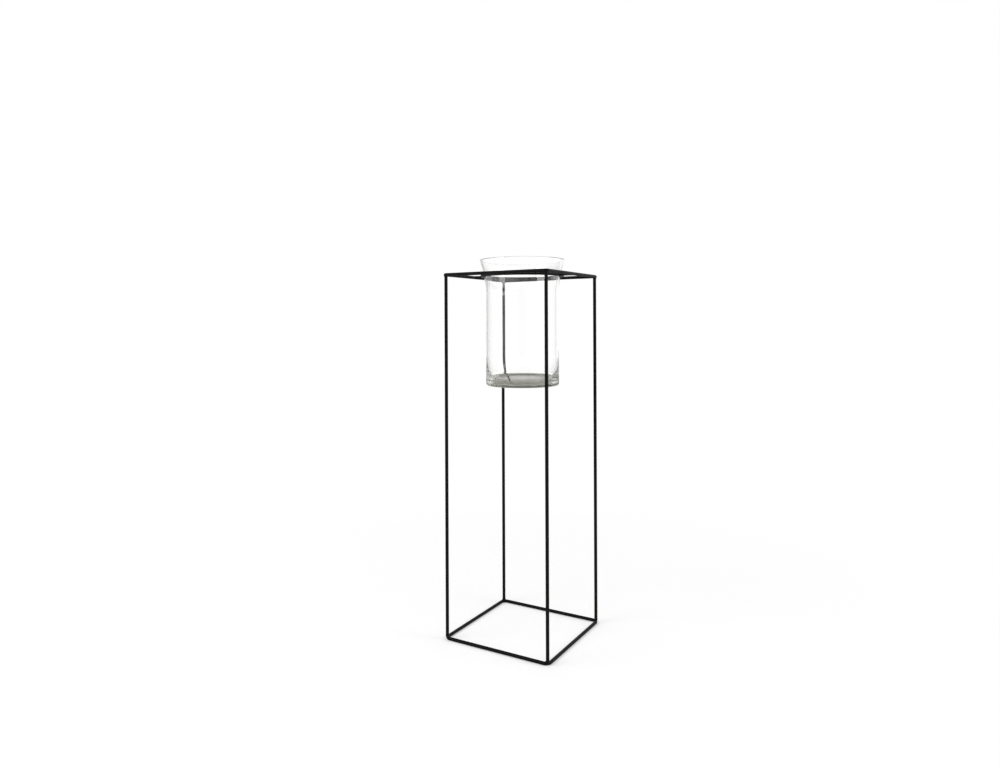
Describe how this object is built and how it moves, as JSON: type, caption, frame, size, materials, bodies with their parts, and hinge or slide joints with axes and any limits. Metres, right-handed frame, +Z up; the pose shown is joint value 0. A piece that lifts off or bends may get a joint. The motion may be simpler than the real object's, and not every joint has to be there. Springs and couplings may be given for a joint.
{
  "type": "vase with metal frame",
  "caption": "Tall open cage of thin black rod with a clear glass cylinder vase hung by its flared rim in a ring in the top; lifts out for water and stems.",
  "frame": {"origin": "on the floor, at the middle of the cage's footprint", "axes": "+Z up along the vase's axis; X and Y along the rails of the cage; -Y the front"},
  "size_m": [0.225, 0.225, 0.728],
  "materials": {
    "frame_coat": "satin black powder coat on steel rod",
    "glass": "clear blown glass with a faint grey-green cast where it is thick, fire-polished rim"
  },
  "bodies": {
    "frame": {"base_loop": "frame_coat", "top_loop": "frame_coat", "upright_front_left": "frame_coat", "upright_front_right": "frame_coat", "upright_back_right": "frame_coat", "upright_back_left": "frame_coat", "vase_ring": "frame_coat", "spoke_front": "frame_coat", "spoke_right": "frame_coat", "spoke_back": "frame_coat", "spoke_left": "frame_coat"},
    "vase": {"glass_vase": "glass"}
  },
  "joints": [
    {"name": "vase_lift", "type": "slide", "parent": "frame", "child": "vase", "axis": [0, 0, 1], "range_m": [0, 0.225]}
  ]
}
